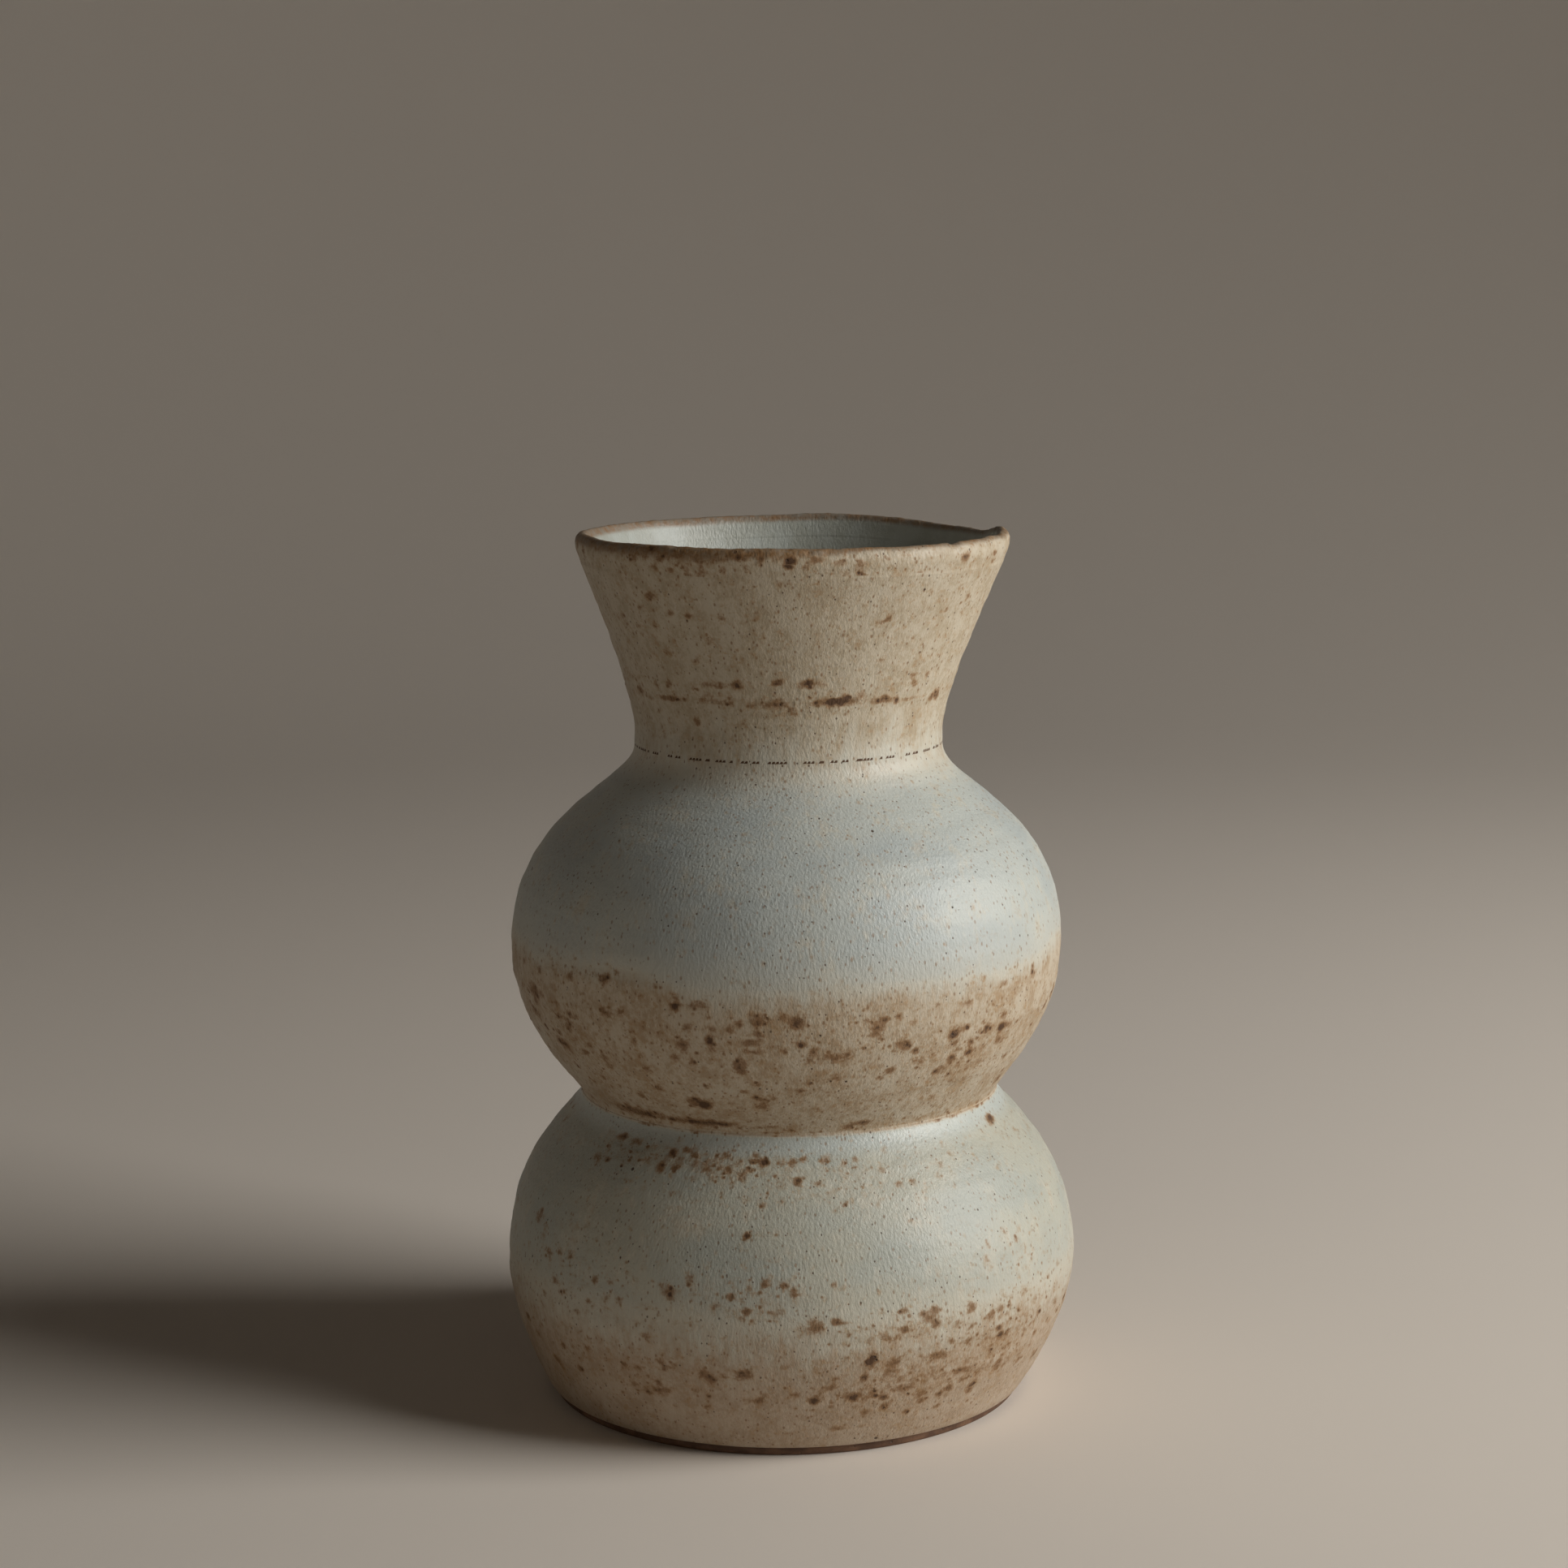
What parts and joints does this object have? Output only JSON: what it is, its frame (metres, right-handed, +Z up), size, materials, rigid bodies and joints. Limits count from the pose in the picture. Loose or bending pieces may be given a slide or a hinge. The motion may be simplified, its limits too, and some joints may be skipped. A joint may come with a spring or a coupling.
{
  "type": "stoneware vase",
  "caption": "Hand-thrown stoneware vase with stacked round bulbs, a pinched waist, a flared neck and a rolled lip, for cut or dried stems.",
  "frame": {"origin": "on the surface the vase stands on, under the middle of the lower bulb", "axes": "+Z up through the neck, +X to the right when the vase is seen from the front, +Y away from the viewer"},
  "size_m": [0.1458, 0.1458, 0.22],
  "materials": {
    "bare_clay": "bare fired stoneware, dark brown, slightly glossy at the foot",
    "joining_slip": "fired slip, brown, under the glaze",
    "lower_glaze": "satin-matte pale grey glaze with brown iron spots, tan towards the foot",
    "upper_glaze": "satin-matte pale blue-grey glaze over a tan zone with burst brown iron spots",
    "neck_glaze": "satin-matte tan glaze with fine iron speckle and brown rings",
    "lip_glaze": "thin brown glaze broken over the edge"
  },
  "bodies": {
    "root": {"base_disc": "bare_clay", "base_slip": "joining_slip", "floor_coil": "lower_glaze", "lower_bulb": "lower_glaze", "waist_slip": "joining_slip", "upper_bulb": "upper_glaze", "neck_slip": "joining_slip", "flared_neck": "neck_glaze", "lip_slip": "joining_slip", "lip_coil": "lip_glaze"}
  },
  "joints": []
}
